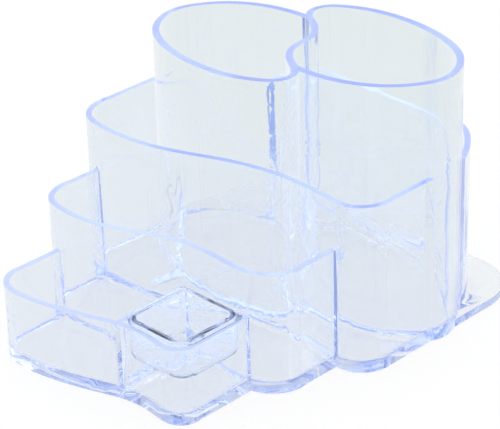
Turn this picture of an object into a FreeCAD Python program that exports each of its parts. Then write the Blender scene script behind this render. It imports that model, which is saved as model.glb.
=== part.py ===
import FreeCAD, Part
import math
import os

os.makedirs("parts", exist_ok=True)

# A clear desk tidy moulded in one piece: three stepped front tiers with waved fronts, two tall cups that
# share one S-shaped wall and a slanting rim, a pocket behind them and a plate that runs out at the back.
# A small tray lies in the right-hand bay of the lowest tier and lifts out.
# Sizes are in millimetres. X runs to the right, Y from the front tier to the back, Z up from the table.
# In the plan Y is counted from the front; the finished pieces are moved so that the origin is on the
# underside at half the depth.

depth = 161.5          # front of the lowest tier to the back of the plate

# The three tiers: half width, front line and rim height of each, in the plan
tier1_w, tier1_y, tier1_h = 42.0, 0.0, 29.0
tier2_w, tier2_y, tier2_h = 53.0, 30.2, 46.0
tier3_w, tier3_y, tier3_h = 66.0, 59.6, 64.0
tier1_back, tier2_back, tier3_back = 51.2, 81.6, 111.0    # where they end, inside what stands behind
tier_wall = 2.2

# The wall that divides the lowest tier
divider_x = 11.6
divider_wall = 2.2

# The two cups
cup_x, cup_y = 0.7, 113.5    # their common centre in the plan
cup_w, cup_d = 66.8, 36.0    # from it to a cup's far end, and to the back of a cup
cup_wall = 2.6
cup_h = 94.0                 # rim height over the centre
rim_rise_x = 0.09            # the rim climbs this much per mm to the right
rim_rise_y = 0.04            # and this much to the back

# The pocket behind the cups
pocket_left = -37.0
pocket_right = 62.0    # where its end wall runs into the right cup
pocket_back = 156.0
pocket_h = 61.0
pocket_wall = 2.2

# Floor, plate and edges
plate_t = 3.0          # plate that shows behind the walls
plate_r = 20.0         # its back corners
plate_start = 98.5     # its front edge, inside the highest tier
floor_t = 3.5          # floor inside the compartments
foot_r = 1.6           # inside edge between floor and wall
over_rim = 10.0        # how far what is cut out of a compartment stands over its rim
over_all = 190.0       # height of the cutting shapes that must pass everything

# The lift-out tray
tray_gap = 0.4         # between the tray and the bay's walls
tray_wall = 1.6
tray_h = 14.5          # depth below the rim of the tier
tray_front = 13.6      # outside of its front wall
tray_back = 41.4       # outside of its back wall
tray_lip_t = 1.2       # the lip that lies on the walls
tray_lip_w = 1.5       # how far it reaches out over them
tray_corner_r = 4.5
tray_front_r = 6.5     # its front right corner follows the moulding's
tray_lip_back_r = 1.5
tray_foot_r = 4.0
tray_edge_r = 0.4

# Shape of each tier's front, from the left side round both corners to the right side:
# across as a share of the half width, and the distance behind the front line
tier1_wave = [(-1, 13), (-0.967, 5.8), (-0.833, 1), (-0.62, 0.1), (-0.38, 1.4), (-0.14, 3.8), (0.1, 7),
              (0.31, 9.7), (0.52, 10.8), (0.71, 10), (0.857, 9.8), (0.957, 12.2), (1, 18)]
tier2_wave = [(-1, 17.8), (-0.988, 9.3), (-0.9, 3), (-0.735, 0.4), (-0.53, 0), (-0.34, 2), (-0.11, 6.8),
              (0.11, 11), (0.34, 12.7), (0.57, 12.1), (0.755, 12.1), (0.9, 15.2), (0.985, 21), (1, 27.8)]
tier3_wave = [(-1, 19.4), (-0.985, 10.4), (-0.91, 3.8), (-0.757, 0.6), (-0.575, 0), (-0.39, 1.2),
              (-0.18, 5.2), (0.03, 10.5), (0.21, 13.8), (0.39, 15.4), (0.575, 15.4), (0.757, 14.2),
              (0.88, 14.4), (0.965, 18.8), (1, 27.4)]

# Outside of the left cup, as shares of cup_w and cup_d from the centre: along its back, round its far end
# and along its front
cup_outline = [(-0.1, 0.5), (-0.275, 0.564), (-0.46, 0.585), (-0.64, 0.547), (-0.804, 0.436),
               (-0.93, 0.253), (-1, 0.014), (-0.975, -0.236), (-0.885, -0.48), (-0.7, -0.72),
               (-0.46, -0.894), (-0.22, -0.986), (-0.01, -1), (0.155, -0.944), (0.26, -0.842), (0.292, -0.714)]
# Middle of the shared wall from the front to the centre; its other half is the same turned half a turn
shared_half = [(0.166, -0.46), (0.08, -0.34), (0.024, -0.208), (0.003, -0.1), (0, 0)]
shared_tail = (-0.28, 0.625)    # where its line is carried on to, past the left cup's back wall

# The pocket's rounded left corner and its right side, counted from where its back line meets each side
pocket_corner = [(0, -10), (2.8, -2.8), (10, 0)]
pocket_side = [(-36, 0), (-26, -0.8), (-17, -4.4), (-10, -10.8), (-4.5, -18.6), (0, -28)]
# Its front line, inside the cups: the right end, and the left end's place to the back
pocket_right_end = (40.0, 118.0)
pocket_left_end = 123.0

# How many points the inner lines of the plan have
wave_count = 2         # for each point of a tier's outer line
cup_count = 6          # for each point of a cup's line, of which every third is kept
cup_kept = 3
pocket_corner_count = 8
pocket_side_count = 12
tiny = 1e-4            # two heights closer than this are the same


def vec(x, y, z=0.0):
    return FreeCAD.Vector(x, y, z)


def spline(points):
    curve = Part.BSplineCurve()
    curve.interpolate([vec(x, y) for x, y in points])
    return curve


def beside(points, d, count):
    # the curve through points, moved to its left by d, as count points
    curve = spline(points)
    first = curve.FirstParameter
    span = curve.LastParameter - first
    count = round(count)
    out = []
    for i in range(count):
        u = first + span * i / (count - 1)
        p = curve.value(u)
        along = curve.tangent(u)[0]
        out.append((p.x - d * along.y, p.y + d * along.x))
    return out


def line(a, b):
    return Part.makeLine(vec(*a), vec(*b))


def closed_face(parts):
    # parts in order, each a list of points: two points make a line, more make a curve; lines fill the gaps
    edges = []
    for i, part in enumerate(parts):
        edges.append(spline(part).toShape() if len(part) > 2 else line(part[0], part[1]))
        end = part[-1]
        following = parts[(i + 1) % len(parts)][0]
        if math.dist(end, following) > tiny:
            edges.append(line(end, following))
    return Part.Face(Part.Wire(Part.__sortEdges__(edges)))


def crossing(points):
    # the point where the two ends of an open run of points cross, and the places of the crossing
    reach = len(points) // 4
    for i in range(reach):
        for j in range(len(points) - 2, len(points) - reach, -1):
            (ax, ay), (bx, by), (cx, cy), (ex, ey) = points[i], points[i + 1], points[j], points[j + 1]
            turn = (bx - ax) * (ey - cy) - (by - ay) * (ex - cx)
            if abs(turn) < 1e-12:
                continue
            s = ((cx - ax) * (ey - cy) - (cy - ay) * (ex - cx)) / turn
            t = ((cx - ax) * (by - ay) - (cy - ay) * (bx - ax)) / turn
            if 0 <= s <= 1 and 0 <= t <= 1:
                return (ax + s * (bx - ax), ay + s * (by - ay)), i, j
    raise ValueError("the cup's back wall and the shared wall don't meet")


def prism(face, z0, z1):
    return face.translated(vec(0, 0, z0)).extrude(vec(0, 0, z1 - z0))


def level_edges(shape, z):
    return [e for e in shape.Edges if abs(e.BoundBox.ZMin - z) < tiny and abs(e.BoundBox.ZMax - z) < tiny]


# Regions of the plan: d is how far each lies inside the outer face of its wall
def tier_region(half_width, front_y, wave, back_y, d):
    front = [(share * half_width, front_y + behind) for share, behind in wave]
    if d:
        front = beside(front, d, wave_count * len(wave))
    return closed_face([front, [(front[-1][0], back_y), (front[0][0], back_y)]])


def tier1_region(d=0.0):
    return tier_region(tier1_w, tier1_y, tier1_wave, tier1_back, d)


def tier2_region(d=0.0):
    return tier_region(tier2_w, tier2_y, tier2_wave, tier2_back, d)


def tier3_region(d=0.0):
    return tier_region(tier3_w, tier3_y, tier3_wave, tier3_back, d)


def on_cup(share):
    return (cup_x + share[0] * cup_w, cup_y + share[1] * cup_d)


def left_cup_region(d=0.0):
    half = [on_cup(p) for p in shared_half]
    shared = half + [(2 * cup_x - x, 2 * cup_y - y) for x, y in reversed(half[:-1])] + [on_cup(shared_tail)]
    far_side = beside(shared, -cup_wall / 2, len(shared) + 4)
    run = [on_cup(p) for p in cup_outline] + far_side
    run = beside(run, d, cup_count * len(run))
    corner, first, last = crossing(run)
    curve = spline([corner] + run[first + 1:last:round(cup_kept)] + [corner])
    middle = (curve.FirstParameter + curve.LastParameter) / 2
    ahead, behind = curve.copy(), curve.copy()
    ahead.segment(curve.FirstParameter, middle)
    behind.segment(middle, curve.LastParameter)
    return Part.Face(Part.Wire([ahead.toShape(), behind.toShape()]))


def right_cup_region(d=0.0):
    face = left_cup_region(d)
    face.rotate(vec(cup_x, cup_y), vec(0, 0, 1), 180)
    return face


def pocket_region(d=0.0):
    corner = [(pocket_left + x, pocket_back + y) for x, y in pocket_corner]
    side = [(pocket_right + x, pocket_back + y) for x, y in pocket_side]
    left = beside(corner, -d, pocket_corner_count)
    right = beside(side, -d, pocket_side_count)
    return closed_face([left, right, [pocket_right_end, (left[0][0], pocket_left_end)]])


def plate_region():
    # the plate from the middle of the cups to the back, with rounded back corners
    mid = plate_r * (1 - math.sqrt(0.5))
    x, y, r = tier3_w, depth, plate_r
    left = Part.Arc(vec(-x, y - r), vec(-x + mid, y - mid), vec(-x + r, y)).toShape()
    right = Part.Arc(vec(x - r, y), vec(x - mid, y - mid), vec(x, y - r)).toShape()
    straight = [line((-x, plate_start), (-x, y - r)), line((-x + r, y), (x - r, y)),
                line((x, y - r), (x, plate_start)), line((x, plate_start), (-x, plate_start))]
    return Part.Face(Part.Wire(Part.__sortEdges__([left, right] + straight)))


def rim_height(x, y):
    return cup_h + rim_rise_x * (x - cup_x) + rim_rise_y * (y - cup_y)


def above_cups():
    # everything over the cups' slanting rim
    left, right = cup_x - 2 * cup_w, cup_x + 2 * cup_w
    front, back = cup_y - 2 * cup_w, cup_y + 2 * cup_w
    square = [(left, front), (right, front), (right, back), (left, back), (left, front)]
    face = Part.Face(Part.makePolygon([vec(x, y, rim_height(x, y)) for x, y in square]))
    return face.extrude(vec(0, 0, over_all))


def hollow(region, wall, top, *minus):
    # what is taken out of the moulding for one compartment, without the solids named in minus
    room = prism(region(wall), floor_t, top)
    room = room.makeFillet(foot_r, level_edges(room, floor_t))
    for solid in minus:
        room = room.cut(solid)
    return max(room.Solids, key=lambda s: s.Volume)


def moulding():
    tier2_full = prism(tier2_region(), 0, over_all)
    tier3_full = prism(tier3_region(), 0, over_all)
    left_full = prism(left_cup_region(), 0, over_all)
    right_full = prism(right_cup_region(), 0, over_all)
    half = divider_wall / 2
    up_to_divider = Part.makeBox(depth, depth, over_all, vec(divider_x + half - depth, 0, 0))
    from_divider = Part.makeBox(depth, depth, over_all, vec(divider_x - half, 0, 0))
    body = left_full.fuse(right_full).cut(above_cups())
    blocks = [(tier1_region(), tier1_h), (tier2_region(), tier2_h), (tier3_region(), tier3_h),
              (pocket_region(), pocket_h), (plate_region(), plate_t)]
    for region, height in blocks:
        body = body.fuse(prism(region, 0, height))
    cup_top = rim_height(cup_x + cup_w, cup_y + cup_d) + over_rim
    rooms = [hollow(tier1_region, tier_wall, tier1_h + over_rim, tier2_full, from_divider),
             hollow(tier1_region, tier_wall, tier1_h + over_rim, tier2_full, up_to_divider),
             hollow(tier2_region, tier_wall, tier2_h + over_rim, tier3_full),
             hollow(tier3_region, tier_wall, tier3_h + over_rim, left_full, right_full),
             hollow(pocket_region, pocket_wall, pocket_h + over_rim, left_full, right_full),
             hollow(left_cup_region, cup_wall, cup_top),
             hollow(right_cup_region, cup_wall, cup_top)]
    for room in rooms:
        body = body.cut(room)
    body = body.removeSplitter()
    return max(body.Solids, key=lambda s: s.Volume)


def tray_block(grow, z0, z1, foot):
    # the tray's outline in its bay, larger by grow at the front and sides, with rounded corners
    x0 = divider_x + divider_wall / 2 + tray_gap - grow
    x1 = tier1_w - tier_wall - tray_gap + grow
    y0 = tray_front - grow
    y1 = tray_back + min(grow, 0)
    block = Part.makeBox(x1 - x0, y1 - y0, z1 - z0, vec(x0, y0, z0))
    back_r = tray_lip_back_r if grow > 0 else tray_corner_r + grow
    front_r = tray_corner_r + grow
    for x, y, r in ((x1, y0, tray_front_r + grow), (x0, y0, front_r), (x0, y1, back_r), (x1, y1, back_r)):
        upright = [e for e in block.Edges if abs(e.BoundBox.ZLength - (z1 - z0)) < tiny
                   and math.hypot(e.Vertexes[0].X - x, e.Vertexes[0].Y - y) < tiny]
        block = block.makeFillet(r, upright)
    return block.makeFillet(foot, level_edges(block, z0)) if foot else block


def lift_out_tray():
    top = tier1_h + tray_lip_t
    under = tier1_h - tray_h
    shell = tray_block(0, under, top, tray_foot_r).fuse(tray_block(tray_lip_w, tier1_h, top, 0))
    inside = tray_block(-tray_wall, under + tray_wall, top + over_rim, tray_foot_r - tray_wall)
    shell = shell.cut(inside).removeSplitter()
    shell = max(shell.Solids, key=lambda s: s.Volume)
    return shell.makeFillet(tray_edge_r, level_edges(shell, top))


for node, solid in (("desk_tidy_body", moulding()), ("lift_out_tray", lift_out_tray())):
    solid.translate(vec(0, -depth / 2))
    box = solid.BoundBox
    print(node, "valid", solid.isValid(), "volume", round(solid.Volume), "faces", len(solid.Faces),
          "size", [round(v, 1) for v in (box.XLength, box.YLength, box.ZLength)])
    solid.exportStep(f"parts/{node}.step")
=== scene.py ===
import math

import bmesh
import bpy
from mathutils import Matrix, Vector


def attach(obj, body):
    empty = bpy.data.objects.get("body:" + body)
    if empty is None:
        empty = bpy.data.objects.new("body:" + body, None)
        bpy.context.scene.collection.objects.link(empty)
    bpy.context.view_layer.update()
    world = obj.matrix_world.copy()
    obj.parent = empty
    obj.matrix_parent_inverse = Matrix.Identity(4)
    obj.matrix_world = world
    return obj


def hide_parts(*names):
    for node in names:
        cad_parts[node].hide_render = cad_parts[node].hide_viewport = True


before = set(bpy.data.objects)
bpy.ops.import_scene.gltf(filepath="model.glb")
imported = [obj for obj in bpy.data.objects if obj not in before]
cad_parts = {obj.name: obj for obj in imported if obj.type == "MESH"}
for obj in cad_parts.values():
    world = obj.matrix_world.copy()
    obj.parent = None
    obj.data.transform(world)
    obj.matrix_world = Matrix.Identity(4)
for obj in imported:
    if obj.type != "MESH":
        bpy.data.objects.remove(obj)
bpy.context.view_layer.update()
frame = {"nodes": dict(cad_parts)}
print("frame loaded:", ", ".join(frame["nodes"]))


# Node helpers

def addNode(tree, kind, **values):
    node = tree.nodes.new(kind)
    for name, value in values.items():
        setattr(node, name, value)
    return node


def setInputs(node, **values):
    # an underscore stands for the space in an input's name
    for name, value in values.items():
        node.inputs[name.replace("_", " ")].default_value = value


def fillSockets(tree, sockets, values):
    # a value that is another node's socket is linked, any other is set
    for socket, value in zip(sockets, values):
        if isinstance(value, bpy.types.NodeSocket):
            tree.links.new(value, socket)
        else:
            socket.default_value = value


def ramp(tree, value, low, high):
    # 0 at low, 1 at high, straight between
    node = addNode(tree, "ShaderNodeMapRange", clamp=True)
    tree.links.new(value, node.inputs["Value"])
    setInputs(node, From_Min=low, From_Max=high)
    return node.outputs["Result"]


def maths(tree, operation, first, second):
    node = addNode(tree, "ShaderNodeMath", operation=operation)
    fillSockets(tree, node.inputs, (first, second))
    return node.outputs["Value"]


def mixColours(tree, factor, first, second):
    node = addNode(tree, "ShaderNodeMix", data_type="RGBA")
    fillSockets(tree, (node.inputs[0], node.inputs[6], node.inputs[7]), (factor, first, second))
    return node.outputs[2]


def addNoise(tree, point, scale, detail, roughness):
    node = addNode(tree, "ShaderNodeTexNoise")
    sockets = [node.inputs[name] for name in ("Vector", "Scale", "Detail", "Roughness")]
    fillSockets(tree, sockets, (point, scale, detail, roughness))
    return node.outputs["Fac"]


# Shader group that both plastics use

surfaceDetail = {
    "waveDetail": 1.0, "waveRoughness": 0.4,
    "markDetail": 3.0, "markRoughness": 0.6, "markFrom": 0.55, "markTo": 0.75,
    "patchScale": 70.0, "patchDetail": 2.0, "patchRoughness": 0.5, "patchFrom": 0.5, "patchTo": 0.7,
    "tiltFrom": 0.25, "tiltTo": 0.8}    # how far a face must look up to count as a rim

surfaceInputs = [
    ("Point", "NodeSocketVector", None),
    ("Wave Scale", "NodeSocketFloat", 45.0),
    ("Mark Scale", "NodeSocketFloat", 900.0),
    ("Smooth Roughness", "NodeSocketFloat", 0.02),
    ("Marked Roughness", "NodeSocketFloat", 0.08),
    ("Low Colour", "NodeSocketColor", (1, 1, 1, 1)),
    ("High Colour", "NodeSocketColor", (1, 1, 1, 1)),
    ("Top", "NodeSocketFloat", 0.1),
    ("Rim Colour", "NodeSocketColor", (1, 1, 1, 1)),
    ("Rim From", "NodeSocketFloat", 0.01),
    ("Rim Roughness", "NodeSocketFloat", 0.1),
    ("Foot Colour", "NodeSocketColor", (1, 1, 1, 1)),
    ("Foot Height", "NodeSocketFloat", 0.004)]

surfaceOutputs = [
    ("Colour", "NodeSocketColor"), ("Rim", "NodeSocketFloat"),
    ("Roughness", "NodeSocketFloat"), ("Height", "NodeSocketFloat")]


def makeMouldedSurface():
    # long soft waves from the mould, fine handling marks in patches, and a tint that changes with height;
    # the rims that look up above a height get a painted bluish shade, and faces near the foot a tone of
    # their own, which on the tray is painted shade
    group = bpy.data.node_groups.new("mouldedSurface", "ShaderNodeTree")
    for label, kind, value in surfaceInputs:
        socket = group.interface.new_socket(label, in_out="INPUT", socket_type=kind)
        if value is not None:
            socket.default_value = value
    for label, kind in surfaceOutputs:
        group.interface.new_socket(label, in_out="OUTPUT", socket_type=kind)
    given = addNode(group, "NodeGroupInput").outputs
    out = addNode(group, "NodeGroupOutput").inputs
    links = group.links
    detail = surfaceDetail

    waves = addNoise(group, given["Point"], given["Wave Scale"], detail["waveDetail"],
                     detail["waveRoughness"])
    links.new(waves, out["Height"])

    marks = addNoise(group, given["Point"], given["Mark Scale"], detail["markDetail"],
                     detail["markRoughness"])
    patches = addNoise(group, given["Point"], detail["patchScale"], detail["patchDetail"],
                       detail["patchRoughness"])
    worn = maths(group, "MULTIPLY", ramp(group, marks, detail["markFrom"], detail["markTo"]),
                 ramp(group, patches, detail["patchFrom"], detail["patchTo"]))
    rough = addNode(group, "ShaderNodeMapRange")
    links.new(worn, rough.inputs["Value"])
    links.new(given["Smooth Roughness"], rough.inputs["To Min"])
    links.new(given["Marked Roughness"], rough.inputs["To Max"])

    facing = addNode(group, "ShaderNodeSeparateXYZ")
    links.new(addNode(group, "ShaderNodeNewGeometry").outputs["Normal"], facing.inputs["Vector"])
    place = addNode(group, "ShaderNodeSeparateXYZ")
    links.new(given["Point"], place.inputs["Vector"])
    above = maths(group, "GREATER_THAN", place.outputs["Z"], given["Rim From"])
    lookingUp = ramp(group, facing.outputs["Z"], detail["tiltFrom"], detail["tiltTo"])
    rim = maths(group, "MULTIPLY", lookingUp, above)
    height = maths(group, "DIVIDE", place.outputs["Z"], given["Top"])
    foot = maths(group, "LESS_THAN", place.outputs["Z"], given["Foot Height"])
    wall = mixColours(group, height, given["Low Colour"], given["High Colour"])
    # faces near the foot take a tone of their own; on the tray it is painted shade along the lower edge
    wall = mixColours(group, foot, wall, given["Foot Colour"])
    # the rims that look up get a painted bluish shade
    links.new(mixColours(group, rim, wall, given["Rim Colour"]), out["Colour"])
    links.new(rim, out["Rim"])
    rimRough = maths(group, "MULTIPLY", rim, given["Rim Roughness"])
    links.new(maths(group, "MAXIMUM", rough.outputs["Result"], rimRough), out["Roughness"])
    return group


mouldedSurface = makeMouldedSurface()
print("surface group made")


def clearPlastic(name, look):
    material = bpy.data.materials.new(name)
    material.use_nodes = True
    tree = material.node_tree
    tree.nodes.clear()
    links = tree.links
    out = addNode(tree, "ShaderNodeOutputMaterial")
    point = addNode(tree, "ShaderNodeTexCoord")
    surface = addNode(tree, "ShaderNodeGroup", node_tree=mouldedSurface)
    links.new(point.outputs["Object"], surface.inputs["Point"])
    setInputs(surface, Wave_Scale=look["waveScale"], Mark_Scale=look["markScale"],
              Smooth_Roughness=look["smooth"], Marked_Roughness=look["marked"],
              Low_Colour=look["lowColour"], High_Colour=look["highColour"], Top=look["top"],
              Rim_Colour=look["paintedRimShade"], Rim_From=look["rimFrom"], Rim_Roughness=look["rimRough"],
              Foot_Colour=look["footToneAndShade"], Foot_Height=look["footHeight"])
    bump = addNode(tree, "ShaderNodeBump")
    setInputs(bump, Strength=look["waveStrength"], Distance=look["waveDepth"])
    links.new(surface.outputs["Height"], bump.inputs["Height"])

    plastic = addNode(tree, "ShaderNodeBsdfPrincipled")
    setInputs(plastic, IOR=look["ior"], Transmission_Weight=1.0, Metallic=0.0, Emission_Strength=1.0)
    links.new(surface.outputs["Roughness"], plastic.inputs["Roughness"])
    links.new(bump.outputs["Normal"], plastic.inputs["Normal"])
    rays = addNode(tree, "ShaderNodeLightPath")
    # the first face that is met gives the plastic its tint, so that walls behind walls stay clear
    tint = mixColours(tree, rays.outputs["Is Camera Ray"], look["farColour"], surface.outputs["Colour"])
    links.new(tint, plastic.inputs["Base Color"])
    # painted glow: rays that have passed many faces, and the rims that look up, glow pale blue in place
    # of light that runs on inside the walls
    deep = ramp(tree, rays.outputs["Ray Depth"], look["deepFrom"], look["deepFrom"] + 1)
    paintedDeepLight = maths(tree, "MULTIPLY", deep, look["paintedDeepGlow"])
    paintedRimLight = maths(tree, "MULTIPLY", surface.outputs["Rim"], look["paintedRimGlow"])
    lit = maths(tree, "MAXIMUM", paintedDeepLight, paintedRimLight)
    links.new(mixColours(tree, lit, (0, 0, 0, 1), look["paintedGlowColour"]), plastic.inputs["Emission Color"])

    # lamps shine through the plastic, which keeps the ground under it light
    passing = addNode(tree, "ShaderNodeBsdfTransparent")
    setInputs(passing, Color=look["shadowColour"])
    mix = addNode(tree, "ShaderNodeMixShader")
    fillSockets(tree, mix.inputs,
                (rays.outputs["Is Shadow Ray"], plastic.outputs["BSDF"], passing.outputs["BSDF"]))
    links.new(mix.outputs["Shader"], out.inputs["Surface"])
    body = addNode(tree, "ShaderNodeVolumeAbsorption")
    setInputs(body, Color=look["bodyColour"], Density=look["bodyDensity"])
    links.new(body.outputs["Volume"], out.inputs["Volume"])
    return material


def isRimEdge(edge, sharp, level):
    # an outer edge sharper than sharp degrees that runs nearly level, as on rims and round the base
    if len(edge.link_faces) != 2 or edge.calc_face_angle_signed(0) < math.radians(sharp):
        return False
    run = edge.verts[1].co - edge.verts[0].co
    return abs(run.z) < level * run.length


def isSeamInFlat(edge, flat, flatUp):
    # an edge inside a level flat, left from its triangles
    return (len(edge.link_faces) == 2 and edge.calc_face_angle(1) < math.radians(flat)
            and abs(edge.link_faces[0].normal.z) > flatUp)


def softenedCopy(nodeName, pieceName, sizes):
    # the node's own shape with its points joined and the sharp edges of its rims rounded
    mesh = bpy.data.meshes.new(pieceName)
    work = bmesh.new()
    work.from_mesh(frame["nodes"][nodeName].data)
    bmesh.ops.remove_doubles(work, verts=work.verts, dist=sizes["joinWithin"])
    work.normal_update()
    seams = [e for e in work.edges if isSeamInFlat(e, sizes["flat"], sizes["flatUp"])]
    bmesh.ops.dissolve_edges(work, edges=seams, use_verts=False, use_face_split=False)
    rims = [e for e in work.edges if isRimEdge(e, sizes["sharp"], sizes["level"])]
    print(pieceName, "has", len(rims), "rim edges")
    bmesh.ops.bevel(work, geom=rims, offset=sizes["round"], offset_type="OFFSET", segments=sizes["steps"],
                    profile=0.5, affect="EDGES", clamp_overlap=True)
    bmesh.ops.triangulate(work, faces=work.faces)
    loose = [e for e in work.edges if len(e.link_faces) != 2]
    print(pieceName, "has", len(work.faces), "faces and", len(loose), "open edges")
    work.to_mesh(mesh)
    work.free()
    mesh.shade_smooth()
    mesh.set_sharp_from_angle(angle=math.radians(sizes["crease"]))
    piece = bpy.data.objects.new(pieceName, mesh)
    bpy.context.scene.collection.objects.link(piece)
    flatten = piece.modifiers.new("flatFaces", "WEIGHTED_NORMAL")    # keeps floors and plate truly flat
    flatten.weight = sizes["flatWeight"]
    flatten.keep_sharp = True
    return piece


# The moulding

# lengths in metres, angles in degrees, densities per metre
mouldingLook = {
    "lowColour": (0.67, 0.73, 0.83, 1), "highColour": (0.59, 0.68, 0.68, 1), "top": 0.09,
    # painted bluish shade and painted glow on the rims that look up
    "paintedRimShade": (0.42, 0.52, 0.88, 1), "rimFrom": 0.01, "paintedRimGlow": 0.24, "rimRough": 0.35,
    # faces near the foot of the moulding are made paler
    "footToneAndShade": (0.82, 0.86, 0.87, 1), "footHeight": 0.0042,
    "farColour": (0.992, 0.995, 1.0, 1),
    # colour and strength of the pale blue painted glow for rays that have passed many faces
    "paintedGlowColour": (0.44, 0.53, 0.87, 1), "deepFrom": 10.0, "paintedDeepGlow": 0.13,
    "ior": 1.5, "smooth": 0.03, "marked": 0.08, "markScale": 1400.0,
    "waveScale": 40.0, "waveStrength": 0.06, "waveDepth": 0.0006,
    "bodyColour": (0.22, 0.38, 0.8, 1), "bodyDensity": 4.8, "shadowColour": (0.95, 0.96, 0.98, 1),
    "round": 0.0006, "steps": 3, "sharp": 50, "level": 0.25, "crease": 32,
    "flat": 0.02, "flatUp": 0.9, "flatWeight": 100, "joinWithin": 1e-6}
moulding = softenedCopy("desk_tidy_body", "clearMoulding", mouldingLook)
moulding.data.materials.append(clearPlastic("clearMoulding", mouldingLook))
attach(moulding, "moulding")
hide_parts("desk_tidy_body")
print("moulding made")

# The lift-out tray

trayLook = {
    "lowColour": (0.66, 0.74, 0.82, 1), "highColour": (0.72, 0.79, 0.83, 1), "top": 0.03,
    # painted bluish shade and painted glow on the rims that look up
    "paintedRimShade": (0.68, 0.73, 0.85, 1), "rimFrom": 0.028, "paintedRimGlow": 0.03, "rimRough": 0.04,
    # painted shade: the tray's lower edge is made darker and greyer
    "footToneAndShade": (0.64, 0.72, 0.72, 1), "footHeight": 0.0172,
    "farColour": (0.98, 0.985, 0.99, 1),
    # colour and strength of the pale blue painted glow for rays that have passed many faces
    "paintedGlowColour": (0.4, 0.5, 0.8, 1), "deepFrom": 16.0, "paintedDeepGlow": 0.01,
    "ior": 1.5, "smooth": 0.01, "marked": 0.04, "markScale": 1400.0,
    "waveScale": 120.0, "waveStrength": 0.3, "waveDepth": 0.0004,
    "bodyColour": (0.3, 0.45, 0.72, 1), "bodyDensity": 30.0, "shadowColour": (0.95, 0.96, 0.98, 1),
    "round": 0.0003, "steps": 2, "sharp": 50, "level": 0.25, "crease": 32,
    "flat": 0.02, "flatUp": 0.9, "flatWeight": 100, "joinWithin": 1e-6}
tray = softenedCopy("lift_out_tray", "clearTray", trayLook)
tray.data.materials.append(clearPlastic("clearTray", trayLook))
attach(tray, "tray")
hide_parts("lift_out_tray")
print("tray made")


# Ground and light

studio = {
    "floorSize": 6.0, "floorDrop": 0.0003, "floorColour": (0.86, 0.87, 0.9, 1),
    "floorGlow": 1.09, "glowShare": 0.75,
    "roomLight": 0.8, "roomColour": (1.0, 1.0, 1.0, 1)}

lamps = {
    "keyLamp": {"place": (-0.5, -0.5, 0.9), "aim": (0, 0, 0.04), "size": (0.5, 0.5), "watts": 1.2},
    "backLamp": {"place": (0.3, 0.8, 0.7), "aim": (0, 0, 0.05), "size": (0.6, 0.3), "watts": 0.8}}


def seenRays(tree):
    # 1 for rays that show something: from the camera, mirrored, or through clear plastic
    rays = addNode(tree, "ShaderNodeLightPath")
    total = maths(tree, "ADD", rays.outputs["Is Camera Ray"], rays.outputs["Is Glossy Ray"])
    total = maths(tree, "ADD", total, rays.outputs["Is Transmission Ray"])
    return maths(tree, "MINIMUM", total, 1.0)


def makeFloor():
    # pale paint that keeps the shadow, with a white glow in what is seen of it
    half = studio["floorSize"] / 2
    z = -studio["floorDrop"]
    mesh = bpy.data.meshes.new("floor")
    corners = [(-half, -half, z), (half, -half, z), (half, half, z), (-half, half, z)]
    mesh.from_pydata(corners, [], [(0, 1, 2, 3)])
    floor = bpy.data.objects.new("floor", mesh)
    bpy.context.scene.collection.objects.link(floor)
    material = bpy.data.materials.new("paleFloor")
    material.use_nodes = True
    tree = material.node_tree
    tree.nodes.clear()
    out = addNode(tree, "ShaderNodeOutputMaterial")
    paint = addNode(tree, "ShaderNodeBsdfDiffuse")
    setInputs(paint, Color=studio["floorColour"])
    glow = addNode(tree, "ShaderNodeEmission")
    setInputs(glow, Strength=studio["floorGlow"])
    both = addNode(tree, "ShaderNodeMixShader")
    share = maths(tree, "MULTIPLY", seenRays(tree), studio["glowShare"])
    fillSockets(tree, both.inputs, (share, paint.outputs["BSDF"], glow.outputs["Emission"]))
    tree.links.new(both.outputs["Shader"], out.inputs["Surface"])
    mesh.materials.append(material)


def makeRoom():
    # white where it is seen, and a little dimmer as light
    world = bpy.data.worlds.new("studio")
    bpy.context.scene.world = world
    world.use_nodes = True
    tree = world.node_tree
    tree.nodes.clear()
    out = addNode(tree, "ShaderNodeOutputWorld")
    back = addNode(tree, "ShaderNodeBackground")
    setInputs(back, Color=studio["roomColour"])
    unseen = maths(tree, "SUBTRACT", 1.0, seenRays(tree))
    dimmer = maths(tree, "MULTIPLY", unseen, studio["roomLight"] - 1.0)
    tree.links.new(maths(tree, "ADD", dimmer, 1.0), back.inputs["Strength"])
    tree.links.new(back.outputs["Background"], out.inputs["Surface"])


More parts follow.
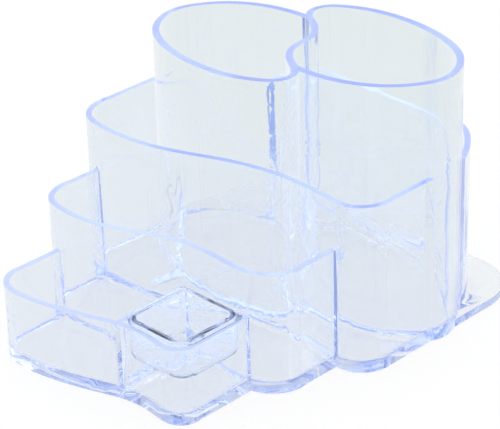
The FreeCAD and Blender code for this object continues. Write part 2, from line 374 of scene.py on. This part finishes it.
def addLamp(name, lamp):
    light = bpy.data.lights.new(name, "AREA")
    light.shape = "RECTANGLE"
    light.size, light.size_y = lamp["size"]
    light.energy = lamp["watts"]
    body = bpy.data.objects.new(name, light)
    body.location = lamp["place"]
    aim = Vector(lamp["aim"]) - Vector(lamp["place"])
    body.rotation_euler = aim.to_track_quat("-Z", "Y").to_euler()
    bpy.context.scene.collection.objects.link(body)


makeFloor()
makeRoom()
for name, lamp in lamps.items():
    addLamp(name, lamp)
print("floor, room and lamps made")


# Camera at the photograph's angle

cameraSpot = {    # angles in degrees, distance and target in metres, lens and sensor in millimetres
    "azimuth": 45.34, "elevation": 28.07, "roll": -1.59, "distance": 0.7355,
    "target": (0.03067, -0.02507, 0.05877), "lens": 158.4, "sensor": 36.0, "clipStart": 0.01}


def makeCamera():
    azimuth, elevation, roll = (math.radians(cameraSpot[k]) for k in ("azimuth", "elevation", "roll"))
    back = Vector((math.sin(azimuth) * math.cos(elevation), -math.cos(azimuth) * math.cos(elevation),
                   math.sin(elevation)))
    right = (-back).cross(Vector((0, 0, 1))).normalized()
    up = right.cross(-back)
    turned = right * math.cos(roll) + up * math.sin(roll)
    upright = up * math.cos(roll) - right * math.sin(roll)
    data = bpy.data.cameras.new("camera")
    data.sensor_fit = "HORIZONTAL"
    data.sensor_width = cameraSpot["sensor"]
    data.lens = cameraSpot["lens"]
    data.clip_start = cameraSpot["clipStart"]
    camera = bpy.data.objects.new("camera", data)
    place = Vector(cameraSpot["target"]) + back * cameraSpot["distance"]
    turn = Matrix((turned, upright, back)).transposed().to_4x4()
    camera.matrix_world = Matrix.Translation(place) @ turn
    bpy.context.scene.collection.objects.link(camera)
    bpy.context.scene.camera = camera


makeCamera()

# many walls stand behind one another, so light needs many steps
bounces = {"max_bounces": 32, "transmission_bounces": 32, "transparent_max_bounces": 32,
           "glossy_bounces": 16}
scene = bpy.context.scene
scene.view_settings.view_transform = "Standard"
for name, count in bounces.items():
    setattr(scene.cycles, name, count)
scene.cycles.caustics_refractive = True
scene.cycles.caustics_reflective = True
print("camera set")
